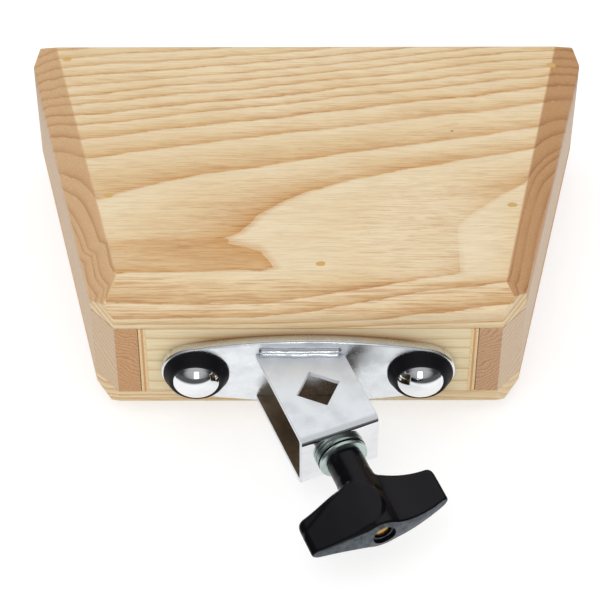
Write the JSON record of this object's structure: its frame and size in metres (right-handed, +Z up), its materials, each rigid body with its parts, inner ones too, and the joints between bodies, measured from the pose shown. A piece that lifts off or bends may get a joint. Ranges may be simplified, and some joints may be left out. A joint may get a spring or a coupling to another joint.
{
  "type": "woodblock",
  "caption": "Flared hollow wood block with an open mouth, and a chromed rod clamp with a wing screw on its narrow end.",
  "frame": {"origin": "centre of the block's bottom face, which is the face that it rests on", "axes": "+Z up to the playing face, +Y towards the clamp end, -Y towards the open mouth, X across the block"},
  "size_m": [0.2476, 0.255, 0.0795],
  "materials": {
    "ash": "clear satin lacquer",
    "ash_wall": "clear satin lacquer",
    "ply": "clear satin lacquer",
    "pine": "clear satin lacquer",
    "putty": "wood filler, sanded flush",
    "chrome": "bright chrome plate",
    "zinc": "pale greenish zinc plate",
    "gold_zinc": "yellow zinc plate",
    "rubber": "moulded, matt",
    "plastic": "moulded, glossy"
  },
  "bodies": {
    "root": {"top_panel": "ash", "bottom_panel": "ash", "left_wall": "ash_wall", "right_wall": "ash_wall", "left_liner": "ply", "right_liner": "ply", "back_wall": "pine", "top_brads": "zinc", "bottom_brads": "zinc", "top_putty": "putty", "bottom_putty": "putty", "clamp_plate": "chrome", "clamp_bracket": "chrome", "weld_beads": "chrome", "left_bush": "rubber", "right_bush": "rubber", "mount_bolts": "chrome", "bolt_washers": "zinc", "bolt_nuts": "zinc", "weld_nut": "zinc"},
    "washer": {"screw_washer": "zinc"},
    "knob": {"wing_knob": "plastic", "knob_stud": "gold_zinc"}
  },
  "joints": [
    {"name": "screw_travel", "type": "slide", "parent": "root", "child": "washer", "axis": [-0.3811, 0.9245, 0], "range_m": [0, 0.016]},
    {"name": "screw_turn", "type": "hinge", "parent": "washer", "child": "knob", "pos_m": [0.0035, 0.0845, 0.03375], "axis": [-0.3811, 0.9245, 0], "range_deg": [0, 4590]}
  ],
  "couplings": [
    {"joint": "screw_travel", "follows": "screw_turn", "m_per_rad": 0.00019894}
  ]
}
